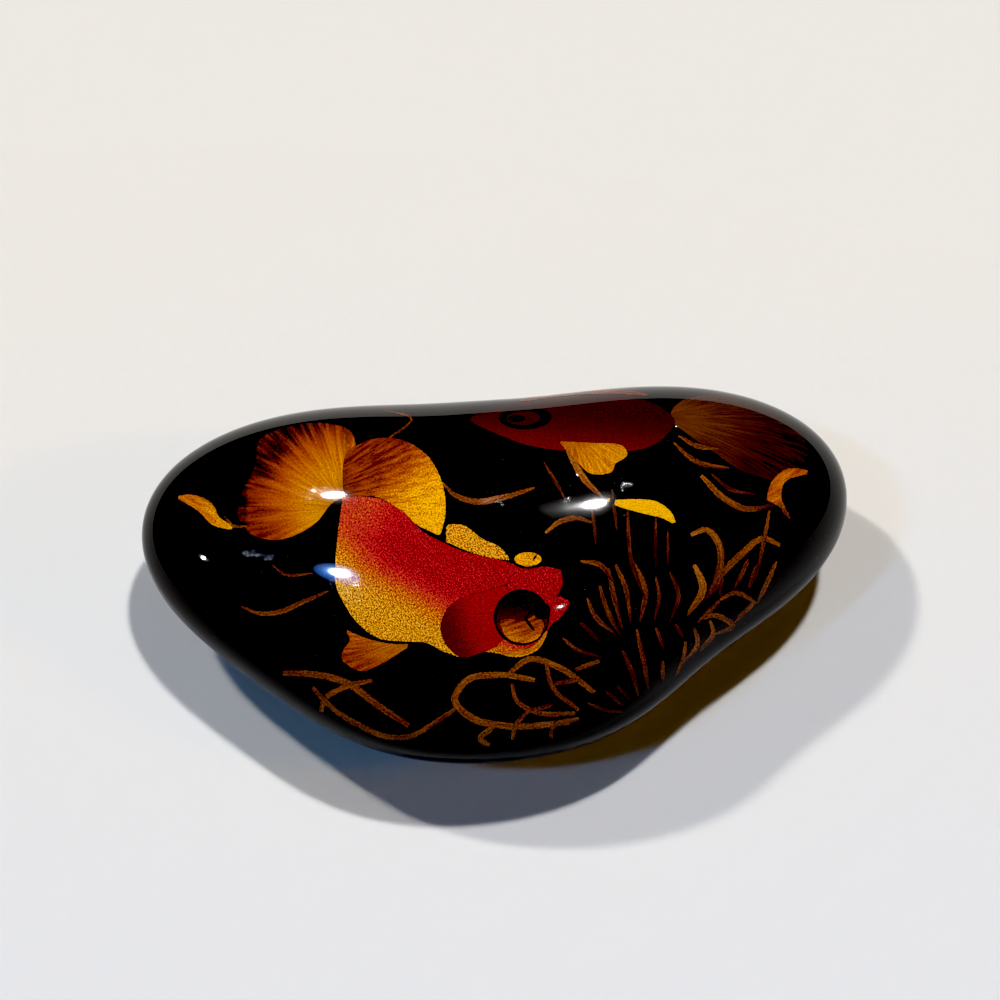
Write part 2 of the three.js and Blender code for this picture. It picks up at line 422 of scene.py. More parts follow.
class Paint:
    """Thin closed films of paint that lie on the lid, gathered into one piece."""

    def __init__(self, name, material, slot, paths=from_the_front):
        self.name, self.material, self.slot, self.paths = name, material, slot, paths
        self.points, self.normals, self.faces = [], [], []
        self.marks = {"brush": [], "edge": [], "tone": [], "ink": []}
        self.count = 0

    def film(self, flat, faces, level, brush, edge, tone, ink):
        surface = settle(flat, self.paths)
        normals = surface_normals(surface)
        top = surface + normals * (PAINT_LIFT + LEVEL_STEP * level)
        bottom = surface - normals * PAINT_DEPTH
        count, base = len(flat), self.count
        faces = outward(faces, top, normals)
        solid = [tuple(base + corner for corner in face) for face in faces]
        solid += [tuple(base + count + corner for corner in face[::-1]) for face in faces]
        for start, end in border(faces):
            solid.append((base + end, base + start, base + count + start, base + count + end))
        self.points += [top, bottom]
        self.normals += [normals, normals]
        self.faces += solid
        for name, values in (("brush", brush), ("edge", edge), ("tone", tone), ("ink", ink)):
            self.marks[name] += [values, values]
        self.count += 2 * count

    def patch(self, outline, level, tone=0.5, ink=1.0, root=None, lean=0.0):
        """A filled shape. The brush fans out from root, or leans at an angle where there is none."""
        line = smooth_line(outline, closed=True, step=PAINT_STEP)
        flat, faces = fill(line)
        gap = flat[:, None, :] - line[None, :, :]
        edge = np.sqrt((gap**2).sum(axis=2)).min(axis=1)
        tone = tone(flat) if callable(tone) else np.full(len(flat), tone)
        ink = ink(flat) if callable(ink) else np.full(len(flat), ink)
        if root is None:
            along = flat @ np.array([math.cos(lean), math.sin(lean)])
            across = flat @ np.array([-math.sin(lean), math.cos(lean)])
        else:
            away = flat - np.array(root)
            along = np.hypot(away[:, 0], away[:, 1])
            across = 25 * np.arctan2(away[:, 0], -away[:, 1])
        brush = np.stack([along, across, np.zeros(len(flat))], axis=1)
        self.film(flat, faces, level, brush, edge, tone, ink)

    def stroke(self, points, width, level, tone=0.5, ink=1.0, start=0.3, end=0.3, dims=0.0):
        """A brush stroke; start and end are the shares of its width that its two tips keep,
        and dims is the share of its tone that it has lost by its end."""
        line = smooth_line(points, step=PAINT_STEP)
        steps = np.linalg.norm(np.diff(line, axis=0), axis=1)
        along = np.concatenate([[0], np.cumsum(steps)])
        share = along / along[-1]
        direction = np.gradient(line, axis=0)
        direction /= np.linalg.norm(direction, axis=1, keepdims=True)
        sideways = np.stack([-direction[:, 1], direction[:, 0]], axis=1)
        tips = np.where(share < 0.5, start, end)
        half = STROKE_FULLNESS * width / 2 * (tips + (1 - tips) * np.sin(np.pi * share) ** 0.7)
        reach = half[:, None, None] * BRUSH_ACROSS[None, :, None]
        flat = line[:, None, :] + sideways[:, None, :] * reach
        rows, wide = len(line), len(BRUSH_ACROSS)
        faces = []
        for row in range(rows - 1):
            for column in range(wide - 1):
                corner = row * wide + column
                faces.append((corner, corner + 1, corner + wide + 1, corner + wide))
        edge = (half[:, None] * (1 - np.abs(BRUSH_ACROSS))).ravel()
        across = (half[:, None] * BRUSH_ACROSS).ravel() + 7.3 * self.count
        brush = np.stack([np.repeat(along, wide), across, np.zeros(rows * wide)], axis=1)
        worn = np.repeat(ink * (1 - 0.25 * share), wide)
        tone = np.repeat(tone * (1 - dims * share), wide)
        self.film(flat.reshape(-1, 2), faces, level, brush, edge, tone, worn)

    def finish(self):
        points, normals = np.concatenate(self.points), np.concatenate(self.normals)
        piece = make_mesh(self.name, points, self.faces, self.material, "lid", (), normals)
        for name, values in self.marks.items():
            values = np.concatenate(values)
            kind, key = ("FLOAT_VECTOR", "vector") if name == "brush" else ("FLOAT", "value")
            mark = piece.data.attributes.new(name, kind, "POINT")
            mark.data.foreach_set(key, values.ravel())


def outward(faces, points, normals):
    """The faces, turned where need be so that they face the same way as the surface."""
    turned = []
    for face in faces:
        first, second, third = (points[corner] for corner in face[:3])
        facing = np.cross(second - first, third - first) @ normals[face[0]]
        turned.append(tuple(face) if facing > 0 else tuple(face[::-1]))
    return turned


def border(faces):
    """The directed edges that only one face has."""
    edges = {(face[i - 1], face[i]) for face in faces for i in range(len(face))}
    return [(start, end) for start, end in edges if (end, start) not in edges]


def fill(line):
    """Triangles inside an outline, with even points between."""
    low, high = line.min(axis=0), line.max(axis=0)
    inner = [Vector(point) for point in line]
    count = len(line)
    for row, v in enumerate(np.arange(low[1], high[1], FILL_STEP)):
        for u in np.arange(low[0] + (row % 2) * FILL_STEP / 2, high[0], FILL_STEP):
            point = np.array([u, v])
            if np.sqrt(((line - point) ** 2).sum(axis=1)).min() > 0.45 * FILL_STEP and within(point, line):
                inner.append(Vector(point))
    edges = [(index, (index + 1) % count) for index in range(count)]
    made = geometry.delaunay_2d_cdt(inner, edges, [], 1, 1e-5)
    return np.array([tuple(point) for point in made[0]]), [tuple(face) for face in made[2]]


def within(point, line):
    following = np.roll(line, -1, axis=0)
    crosses = (line[:, 1] > point[1]) != (following[:, 1] > point[1])
    rise = np.where(crosses, following[:, 1] - line[:, 1], 1)
    reach = line[:, 0] + (point[1] - line[:, 1]) * (following[:, 0] - line[:, 0]) / rise
    return np.count_nonzero(crosses & (reach > point[0])) % 2 == 1


def oval(middle, across, up):
    angle = np.arange(OVAL_POINTS) * 2 * np.pi / OVAL_POINTS
    return np.stack([middle[0] + across * np.cos(angle), middle[1] + up * np.sin(angle)], axis=1)


def fade(start, end, low=0.0, high=1.0):
    """A value that goes from low at start to high at end, and stays level beyond them."""
    start, way = np.array(start, dtype=float), np.subtract(end, start).astype(float)

    def value(flat):
        share = np.clip((flat - start) @ way / (way @ way), 0, 1)
        return low + (high - low) * share**2 * (3 - 2 * share)

    return value


def fade_round(middle, near, far, low=1.0, high=0.0):
    """A value that goes from low at a distance near the middle to high at a distance far from it."""
    def value(flat):
        share = np.clip((np.linalg.norm(flat - np.array(middle), axis=1) - near) / (far - near), 0, 1)
        return low + (high - low) * share**2 * (3 - 2 * share)

    return value


# ---------------------------------------------------------------- materials

class Shader:
    """A Principled material and short calls that add nodes to it."""

    def __init__(self, name, **surface):
        self.material = bpy.data.materials.new(name)
        self.material.use_nodes = True
        self.nodes = self.material.node_tree.nodes
        self.links = self.material.node_tree.links
        self.surface = self.nodes["Principled BSDF"]
        for socket, value in surface.items():
            self.surface.inputs[socket.replace("_", " ")].default_value = value

    def add(self, kind, inputs=None, **settings):
        node = self.nodes.new("ShaderNode" + kind)
        for name, value in settings.items():
            setattr(node, name, value)
        for name, value in (inputs or {}).items():
            self.plug(node.inputs[name], value)
        return node

    def plug(self, socket, value):
        if isinstance(value, bpy.types.NodeSocket):
            self.links.new(value, socket)
        else:
            socket.default_value = value

    def set(self, socket, value):
        self.plug(self.surface.inputs[socket], value)

    def math(self, operation, first, second=0.0, third=0.0):
        inputs = {0: first, 1: second, 2: third}
        return self.add("Math", inputs, operation=operation).outputs[0]

    def noise(self, where, scale, detail=2.0, roughness=0.5, distortion=0.0):
        inputs = {"Vector": where, "Scale": scale, "Detail": detail, "Roughness": roughness,
                  "Distortion": distortion}
        return self.add("TexNoise", inputs).outputs["Fac"]

    def remap(self, value, low, high, out_low=0.0, out_high=1.0):
        inputs = {"Value": value, "From Min": low, "From Max": high, "To Min": out_low,
                  "To Max": out_high}
        return self.add("MapRange", inputs, interpolation_type="SMOOTHSTEP").outputs["Result"]

    def stretch(self, where, scale):
        return self.add("VectorMath", {0: where, 1: scale}, operation="MULTIPLY").outputs[0]

    def ramp(self, value, stops):
        node = self.add("ValToRGB", {"Fac": value})
        elements = node.color_ramp.elements
        while len(elements) < len(stops):
            elements.new(0.5)
        for element, (place, colour) in zip(elements, stops):
            element.position, element.color = place, (*colour, 1)
        return node.outputs["Color"]

    def mix(self, factor, first, second):
        node = self.add("Mix", data_type="RGBA")
        for socket, value in ((node.inputs["Factor"], factor), (node.inputs["A"], first),
                              (node.inputs["B"], second)):
            self.plug(socket, value)
        return node.outputs["Result"]

    def attribute(self, name, output="Fac"):
        return self.add("Attribute", attribute_name=name).outputs[output]

    def place(self):
        return self.add("TexCoord").outputs["Object"]

    def bump(self, height, distance, strength=1.0, under=None):
        inputs = {"Height": height, "Distance": distance, "Strength": strength}
        if under is not None:
            inputs["Normal"] = under
        return self.add("Bump", inputs).outputs["Normal"]


BLACK = (0.0016, 0.0014, 0.0013)


def clear_gloss(shader):
    """The polished top coat: a barely uneven face and hairline polishing scratches."""
    place = shader.place()
    swell = shader.noise(place, 55.0, 1.0)
    face = shader.bump(swell, 0.00002)
    scratches = None
    for turn, thickness in ((0.5, 0.004), (2.1, 0.003), (3.9, 0.004)):
        turned = shader.add("Mapping", {"Vector": place, "Rotation": (0, 0, turn),
                                        "Scale": (60.0, 420.0, 60.0)}).outputs[0]
        lines = shader.noise(turned, 1.0, 1.0, 0.5, 1.2)
        off_line = shader.math("ABSOLUTE", shader.math("SUBTRACT", lines, 0.5))
        line = shader.remap(off_line, 0.0, thickness, 1.0, 0.0)
        scratches = line if scratches is None else shader.math("MAXIMUM", scratches, line)
    patches = shader.remap(shader.noise(place, 70.0, 1.0), 0.56, 0.68)
    scratches = shader.math("MULTIPLY", scratches, patches)
    face = shader.bump(scratches, 0.0000028, 1.0, face)
    shader.set("Coat Normal", face)
    return place


def glossy(name, **surface):
    settings = {"Roughness": 0.5, "Specular_IOR_Level": 0.0, "Coat_Weight": 1.0,
                "Coat_Roughness": 0.03, "Coat_IOR": 1.18}
    settings.update(surface)
    return Shader(name, **settings)


def black_lacquer():
    """Deep black with a warm brown cast in slow clouds, and grey dust where it was not wiped."""
    shader = glossy("black_lacquer")
    place = clear_gloss(shader)
    clouds = shader.noise(place, 30.0, 3.0)
    base = shader.ramp(clouds, [(0.35, BLACK), (0.75, (0.004, 0.0028, 0.0024))])
    dust = shader.remap(shader.noise(place, 1400.0, 1.0), 0.77, 0.80)
    shader.set("Base Color", shader.mix(dust, base, (0.08, 0.075, 0.07, 1)))
    return shader.material


def red_lacquer():
    """Vermilion brushed on by hand, deeper where it pools."""
    shader = glossy("red_lacquer", Roughness=0.35, Specular_IOR_Level=0.1, Coat_Weight=0.6,
                    Coat_Roughness=0.14, Coat_IOR=1.2)
    place = shader.place()
    pools = shader.noise(place, 24.0, 4.0, 0.6)
    brushed = shader.noise(shader.stretch(place, (90.0, 700.0, 90.0)), 1.0, 2.0)
    value = shader.math("MULTIPLY_ADD", brushed, 0.35, pools)
    colour = shader.ramp(value, [(0.4, (0.20, 0.012, 0.006)), (0.62, (0.36, 0.028, 0.012)),
                                 (0.85, (0.47, 0.05, 0.02))])
    shader.set("Base Color", colour)
    shader.set("Normal", shader.bump(brushed, 0.00004))
    shader.set("Coat Normal", shader.bump(pools, 0.0001))
    return shader.material


def felt():
    """Charcoal wool felt with matted fibres."""
    shader = Shader("felt", Roughness=0.95, Specular_IOR_Level=0.1, Sheen_Weight=0.5,
                    Sheen_Roughness=0.6)
    place = shader.place()
    fibres = shader.noise(place, 1500.0, 4.0, 0.7, 2.5)
    matted = shader.noise(place, 350.0, 2.0)
    value = shader.math("MULTIPLY_ADD", fibres, 0.6, shader.math("MULTIPLY", matted, 0.4))
    shader.set("Base Color", shader.ramp(value, [(0.3, (0.008, 0.007, 0.008)), (0.7, (0.04, 0.037, 0.04))]))
    shader.set("Normal", shader.bump(fibres, 0.0003))
    return shader.material


def paint(name, stops, grain, grain_size, streak, streak_size=0.8, wear=0.5, gaps=0.3):
    """Gold powder and lacquer colour laid with a brush: grains with dark gaps, hair streaks, and
    bare black where the ink runs thin. stops is the colour along the tone, from dark to light."""
    shader = glossy(name)
    clear_gloss(shader)
    brush = shader.attribute("brush", "Vector")
    grains = shader.stretch(brush, (0.6, 1.0, 1.0))
    powder = shader.noise(grains, 1 / grain_size, 2.0, 0.65)
    hairs = shader.noise(shader.stretch(brush, (0.12, 1.0, 1.0)), 1 / streak_size, 2.0, 0.6)
    powder = shader.remap(powder, 0.34, 0.66, -1.0, 1.0)
    hairs = shader.remap(hairs, 0.3, 0.7, -1.0, 1.0)
    drawn = shader.attribute("tone")
    amount = shader.math("MULTIPLY_ADD", drawn, grain, 0.35 * grain)
    tone = shader.math("MULTIPLY_ADD", powder, amount, drawn)
    tone = shader.math("MULTIPLY_ADD", hairs, streak, tone)
    colour = shader.ramp(tone, stops)
    gap = shader.math("MULTIPLY", shader.remap(powder, -0.05, -0.8), drawn)
    colour = shader.mix(shader.math("MULTIPLY", gap, gaps), colour, (0.10, 0.016, 0.001, 1))
    cover = shader.math("MULTIPLY_ADD", powder, 0.22 * wear, shader.attribute("ink"))
    cover = shader.math("MULTIPLY_ADD", hairs, 0.55 * wear, cover)
    cover = shader.remap(cover, 0.3, 0.6)
    ragged = shader.math("MULTIPLY_ADD", powder, -0.07, 0.1)
    sharp = shader.math("GREATER_THAN", shader.attribute("edge"), ragged)
    cover = shader.math("MULTIPLY", cover, sharp)
    shader.set("Base Color", shader.mix(cover, (*BLACK, 1), colour))
    shader.set("Normal", shader.bump(powder, 0.00006))
    return shader.material


GOLD_STOPS = [(0.0, (0.09, 0.008, 0.001)), (0.25, (0.36, 0.055, 0.003)), (0.5, (0.60, 0.17, 0.004)),
              (0.75, (0.88, 0.40, 0.006)), (1.0, (1.0, 0.53, 0.015))]
BODY_STOPS = [(0.0, (0.17, 0.001, 0.001)), (0.22, (0.29, 0.003, 0.004)), (0.42, (0.72, 0.03, 0.04)),
              (0.54, (0.64, 0.045, 0.02)), (0.68, (0.70, 0.21, 0.01)), (0.84, (0.80, 0.35, 0.013)),
              (1.0, (0.98, 0.53, 0.04))]
CRIMSON_STOPS = [(0.0, (0.004, 0.001, 0.001)), (0.3, (0.075, 0.001, 0.002)), (0.6, (0.30, 0.003, 0.005)),
                 (1.0, (0.50, 0.03, 0.03))]
WEED_STOPS = [(0.0, (0.012, 0.004, 0.002)), (0.35, (0.07, 0.018, 0.006)), (0.65, (0.25, 0.068, 0.012)),
              (1.0, (0.46, 0.17, 0.03))]


# ---------------------------------------------------------------- the painting
# Points are (u, v) in the painter's plane, in millimetres: u to the right, v up, from the middle
# of the view.

def near_goldfish(black, gold, fan, body, crimson, weed):
    """The large goldfish that swims to the right and looks out of the lid."""
    back = Paint("goldfish_tail", fan, None)
    tail = [(-48, -1), (-52, -6), (-57, -9.5), (-65, -11.5), (-71, -10), (-75, -4), (-73, 4), (-70, 10),
            (-69, 17), (-60, 21), (-50, 22), (-43, 20), (-41, 10), (-42, 2)]
    root = (-44, -2)

    def tail_ink(flat):
        reach = fade_round(root, 12, 28, 0.9, 0.38)(flat)
        low = fade((-60, 8), (-62, 0))(flat) * fade((-74, 0), (-70, 0), 0.1)(flat)
        return np.maximum(reach, low)

    back.patch(tail, 0, tone=fade_round(root, 9, 28, 0.58, 0.08), ink=tail_ink, root=root)
    back.finish()

    fins = Paint("goldfish_fins", gold, None)
    upper = [(-44, 1), (-45, 7), (-44, 13), (-38, 17), (-29, 17.5), (-21, 13), (-16.5, 5), (-15.5, -4),
             (-17, -10.5), (-17, -10.5), (-24, -7), (-30, -2), (-36, 1)]
    fins.patch(upper, 1, tone=fade((-34, 12), (-21, -1), 0.1, 0.76), root=(-62, -2))
    pelvic = [(-45, -36.5), (-45, -36.5), (-43, -40), (-45, -43), (-45.5, -46), (-45.5, -46), (-40, -49),
              (-34, -47), (-29, -44), (-24.5, -41), (-24.5, -41), (-31, -41), (-38, -39.5)]
    fins.patch(pelvic, 0, tone=fade((-38, -47), (-33, -41), 0.2, 0.42), root=(-20, -38))
    fins.finish()

    scales = Paint("goldfish_body", body, None)
    outline = [(-45, 1), (-45, 1), (-35, 0.5), (-27.5, -3.5), (-22, -9), (-16.5, -12), (-11, -14.5),
               (-4, -16), (3, -18), (8, -19.5), (13, -19), (17.5, -20), (17.5, -20), (18, -24),
               (17, -27), (20.5, -29), (20.5, -29), (17.5, -33.5), (14.5, -36), (12.5, -40), (9, -43),
               (3, -44.5), (-4, -43.5), (-11, -45), (-16, -43.5), (-21, -41), (-28, -40.5), (-35, -39.5),
               (-40, -36), (-44.5, -30), (-47, -24), (-47, -16), (-46, -6)]
    gilding = fade((-30, -15), (-38, -29), 0.2, 0.76)
    rosy = fade((-26, -10), (-40, 0), 0.02, 0.22)
    scales.patch(outline, 2, tone=lambda flat: gilding(flat) + rosy(flat), lean=-0.9)
    strip = [(-15.5, -7), (-15.5, -7), (-11, -7), (-5, -11), (0, -13.5), (3.5, -17.5), (3.5, -17.5),
             (-4, -16.3), (-11, -14), (-15.5, -12), (-15.5, -12)]
    scales.patch(strip, 3, tone=0.78, lean=-0.5)
    scales.finish()

    head = Paint("goldfish_head", crimson, "red_lacquer")
    face = [(-15, -31), (-12, -28.5), (-4, -26), (2, -24), (2, -24), (4, -36), (-1, -42), (-1, -42),
            (-6, -44), (-11, -45), (-15, -42), (-17, -37)]
    head.patch(face, 4, tone=fade((-15, -37), (-5, -34), 0.3, 0.66))
    head.patch(oval((6.3, -33.8), 7.3, 7.3), 6, tone=fade((6, -30), (6, -36), 0.03, 0.28))
    head.finish()

    eye = Paint("goldfish_eyes", gold, None)
    lower = [(-0.6, -34.5), (-0.6, -34.5), (3, -34), (7, -34.5), (10, -33), (13, -35.2), (13, -35.2),
             (11, -39.5), (6.5, -41), (2, -39.5)]
    eye.patch(lower, 7, tone=fade((6, -34), (6, -40), 0.12, 0.42), ink=0.8, lean=0.3)
    eye.patch(oval((8, -17), 4.0, 2.1), 5, tone=0.7)
    eye.stroke([(-1, -43.5), (5.5, -44), (10.5, -42), (13.5, -37.5)], 1.7, 5, tone=0.5)
    eye.finish()

    ink = Paint("goldfish_ink", black, "black_lacquer")
    ink.patch(oval((6.2, -33.6), 8.0, 8.0), 5)
    ink.patch(oval((12.0, -31.8), 2.5, 2.5), 8)
    ink.patch(oval((8, -17), 4.7, 2.7), 4)
    ink.stroke([(7, -33.4), (8, -35), (9.8, -37.4)], 0.8, 8)
    ink.stroke([(7.2, -34), (9, -32), (11, -30.4)], 0.8, 8.4)
    ink.stroke([(9.4, -17.4), (10.6, -15.6)], 0.5, 8)
    ink.stroke([(16.2, -27.6), (17.6, -26.9)], 0.7, 8)
    ink.finish()

    whiskers = Paint("goldfish_strokes", weed, None)
    for points, width, tone in (
        ([(-65, -18.5), (-62, -21), (-53.5, -21)], 0.9, 0.35),
        ([(-74, -30.5), (-68, -32.5), (-63, -32), (-57, -29.5), (-49, -26)], 1.4, 0.5),
        ([(-35, 15.5), (-25.5, 23.5), (-33, 25.6)], 0.7, 0.45),
        ([(-16.5, 5), (-13, 1.5), (-7, -0.5), (0, 0.5), (10, 3.5)], 1.7, 0.55),
        ([(-79, -4.5), (-76, -7.5), (-71.5, -7.5)], 0.8, 0.6),
    ):
        whiskers.stroke(points, width, 0, tone=tone)
    whiskers.finish()

    leaf = Paint("left_leaf", gold, None)
    blade = [(-93.5, 1), (-93.5, 1), (-89, 1.6), (-85, 0.8), (-81.5, -2), (-80.5, -4.5), (-77, -6.8),
             (-72, -8), (-72, -8), (-78, -8.4), (-82.5, -7), (-86, -3.5)]
    leaf.patch(blade, 0, tone=fade((-80, -8), (-88, 1), 0.62, 0.42), lean=-0.5)
    leaf.finish()


def far_goldfish(black, gold, crimson, weed, tail):
    """The second goldfish, at the back: it swims to the left. Its own points are (x, y) from
    above, and those of the strokes and the leaf beside it are (u, v)."""
    body = Paint("far_goldfish_body", crimson, "red_lacquer", from_above)
    outline = [(-8, 37), (-5, 33), (1, 27.5), (8, 22.5), (15, 20), (25, 18.5), (36, 18.5), (43, 21.5),
               (48, 28), (50, 34), (48, 40), (42, 47), (32, 52), (20, 52), (8, 49), (0, 45), (-6, 41)]
    shade = fade((16, 19), (20, 42), 0.4, 0.14)
    body.patch(outline, 2, tone=shade, ink=fade((-9, 40), (1, 38), 0.4), lean=0.2)
    body.patch(oval((7.5, 37.3), 4.9, 4.5), 5, tone=0.17)
    body.finish()

    back = Paint("far_goldfish_tail", tail, None, from_above)
    fan = [(49, 35), (53, 28), (60, 20), (68, 13), (76, 12), (84, 20), (88, 30), (85, 41), (76, 50),
           (66, 54), (56, 50), (50, 42)]
    back.patch(fan, 0, tone=fade_round((49, 35), 3, 34, 0.5, 0.12),
               ink=fade_round((49, 35), 6, 40, 0.8, 0.45), root=(46, 36))
    back.finish()

    fins = Paint("far_goldfish_fins", gold, None, from_above)
    pectoral = [(17, 24), (17, 24), (26, 23), (35, 21), (36, 17), (32.5, 13), (32.5, 13), (31.5, 9.5),
                (26, 8.5), (22, 14)]
    fins.patch(pectoral, 3, tone=fade((18, 22), (30, 12), 0.4, 0.58), root=(20, 34))
    dorsal = [(6, 50), (12, 58), (24, 60), (36, 57), (44, 50), (32, 52.5), (18, 53)]
    fins.patch(dorsal, 1, tone=0.1, ink=0.6, root=(24, 40))
    fins.finish()

    ink = Paint("far_goldfish_ink", black, "black_lacquer", from_above)
    ink.patch(oval((8, 37.5), 7.4, 7.0), 4)
    ink.patch(oval((5.5, 37), 2.5, 2.3), 6)
    ink.finish()

    strokes = Paint("far_goldfish_strokes", weed, None)
    for points, width, tone in (
        ([(51, 18.5), (56, 15.5), (62.5, 14.5)], 1.3, 0.5),
        ([(49.5, 16.5), (56, 11), (65.5, 9)], 1.4, 0.55),
        ([(60.5, 7.5), (66, 3), (73, 1.5)], 1.2, 0.35),
        ([(18.5, 15.5), (24.5, 5.5), (29.5, 0.5)], 1.8, 0.85),
        ([(12.5, 11), (18.5, 0.5)], 1.0, 0.4),
    ):
        strokes.stroke(points, width, 1, tone=tone, dims=0.3)
    strokes.finish()

    leaf = Paint("bright_leaf", gold, None)
    blade = [(27, 1.5), (27, 1.5), (33, 0.2), (39, 0.3), (45, -0.5), (49, -3.5), (51, -8), (51, -8),
             (47, -5.6), (41, -4), (34, -2)]
    leaf.patch(blade, 3, tone=1.05, lean=-0.2)
    leaf.finish()


WEED_BUSH = [
    (1.3, 0.45, [(25, -28), (27, -33), (33, -38.5)]),
    (1.4, 0.45, [(28.5, -24.5), (30, -30), (34.5, -39)]),
    (1.4, 0.45, [(31, -19.5), (32, -25), (35, -37)]),
    (1.4, 0.5, [(33, -18.5), (35.5, -24), (37.5, -35.5)]),
    (1.6, 0.55, [(37.5, -17), (41.5, -25.5), (40, -35)]),
    (1.2, 0.4, [(44.5, -22), (45.5, -27), (44, -35)]),
    (1.2, 0.4, [(48.5, -20.5), (51, -27), (48.5, -35)]),
    (2.0, 0.85, [(55.5, -18.5), (58, -25), (53.5, -33)]),
    (1.3, 0.5, [(62.5, -18), (62, -21.5), (60, -26)]),
    (1.4, 0.55, [(67, -17), (63.5, -21.5), (63, -28.5)]),
    (1.2, 0.45, [(63, -23), (59.5, -28)]),
    (1.3, 0.5, [(71, -17), (67, -25.5)]),
    (1.3, 0.5, [(73.5, -18.5), (71, -25.5)]),
    (1.4, 0.55, [(79, -17.5), (75.5, -25.5), (73.5, -29.5)]),
    (1.3, 0.6, [(63, -28.5), (67, -26.5), (73.5, -29.5)]),
    (1.3, 0.5, [(73, -29), (67, -35)]),
    (1.4, 0.55, [(57, -34), (61.5, -33), (66.5, -36), (61, -38.5)]),
    (1.3, 0.5, [(60, -34.5), (61, -37.5), (56.5, -43.5)]),
    (1.3, 0.5, [(55.5, -36.5), (56.5, -40.5), (52, -47)]),
    (1.2, 0.45, [(53, -40.5), (52.5, -45), (50, -50.5)]),
    (1.3, 0.5, [(63, -28.5), (56.5, -35)]),
    (1.2, 0.4, [(44.5, -36.5), (47, -43)]),
    (1.4, 0.45, [(39, -37), (40.5, -43.5), (42.5, -54.5)]),
    (1.3, 0.4, [(35, -43), (38, -50), (39.5, -56)]),
    (1.2, 0.4, [(46.5, -46), (46.5, -52)]),
    (1.2, 0.4, [(50, -35.5), (52.5, -39.5)]),
    (1.2, 0.35, [(23, -35), (28.5, -40.5)]),
    (1.2, 0.35, [(18, -39.5), (21.5, -42.5), (29, -45)]),
    (1.5, 0.6, [(13, -9.5), (17, -6.3), (23, -5.3), (27, -7)]),
    (1.4, 0.5, [(23, -17.5), (28.5, -18.5), (32.5, -23.5)]),
    (1.1, 0.35, [(26.5, -3), (27.5, -13)]),
    (1.0, 0.35, [(32, 3), (33.5, -9)]),
    (1.2, 0.35, [(36.5, -3), (37.5, -17), (41.5, -28.5)]),
    (0.9, 0.3, [(44.5, -5), (44.5, -20)]),
    (0.9, 0.3, [(48, -9), (48, -19)]),
    (1.9, 0.6, [(80, -13), (75.5, -11), (69, -15.5), (63.5, -21), (58.5, -28.5)]),
    (1.9, 0.65, [(54.5, -10), (59, -8.5), (62.5, -12.5), (63, -19), (60, -26)]),
    (1.0, 0.3, [(25, -58), (30, -60), (36, -60.5)]),
    (1.0, 0.3, [(30, -54.5), (35.5, -59)]),
    (1.0, 0.3, [(33.5, -53), (37, -57)]),
    (1.8, 0.6, [(57.5, 7), (64, 0.5), (70, -2.5), (78.5, -1.5)]),
    (1.2, 0.55, [(79.5, -0.5), (83, -5.5)]),
    (1.2, 0.5, [(77, -3), (75.5, -11.5), (73, -23)]),
]

WEED_LOOPS = [
    (1.9, 0.6, [(10, -51.5), (0, -50), (-10, -52), (-13, -57), (-8.5, -62), (1.5, -64.5), (20, -63.5)]),
    (1.7, 0.6, [(1.5, -50.5), (8.5, -45.5), (17, -48), (27, -55)]),
    (1.3, 0.5, [(13, -46), (15, -53.5), (22.5, -60)]),
    (1.3, 0.5, [(15.5, -52.5), (22.5, -51.5)]),
    (1.3, 0.5, [(21.5, -48.5), (28.5, -46)]),
    (1.4, 0.55, [(3.5, -52.5), (4.5, -57), (10, -60.5), (21.5, -61)]),
    (1.2, 0.45, [(8.5, -60.5), (15, -58.5)]),
    (1.3, 0.5, [(8.5, -60), (4.5, -64.5), (3.5, -68.5)]),
    (1.6, 0.6, [(-1.5, -64.5), (-5.5, -68.5), (-3, -70)]),
    (1.3, 0.5, [(22.5, -62.5), (15, -65), (14.5, -68)]),
    (1.9, 0.5, [(-62, -49.5), (-52, -50), (-44.5, -52), (-34.5, -59), (-26, -64.5)]),
    (1.5, 0.55, [(-36.5, -51.5), (-45.5, -54), (-50.5, -57.5), (-51, -60.5)]),
    (1.5, 0.5, [(-53.5, -53.5), (-49, -58.5), (-39, -65), (-33, -67.5), (-25.5, -67.5), (-20, -64.5),
                (-12.5, -59.5)]),
]


def waterweed(weed, gold):
    bush = Paint("waterweed_bush", weed, None)
    for index, (width, tone, points) in enumerate(WEED_BUSH):
        bush.stroke(points, width, index / 20, tone=1.15 * tone, start=0.5, end=0.25, dims=0.5)
    bush.finish()
    loops = Paint("waterweed_loops", weed, None)
    for index, (width, tone, points) in enumerate(WEED_LOOPS):
        loops.stroke(points, width, index / 20, tone=tone, start=0.7, end=0.7)
    loops.finish()
    leaf = Paint("right_leaf", gold, None)
    blade = [(76, 0), (76, 0), (77.5, 5), (81, 8.5), (86, 9), (91, 7), (91, 7), (85.5, 6.8), (81.5, 5),
             (80.5, 1.5), (84, -6), (84, -6), (80.5, -2.5)]
    leaf.patch(blade, 2, tone=0.34, lean=0.6)
    leaf.finish()


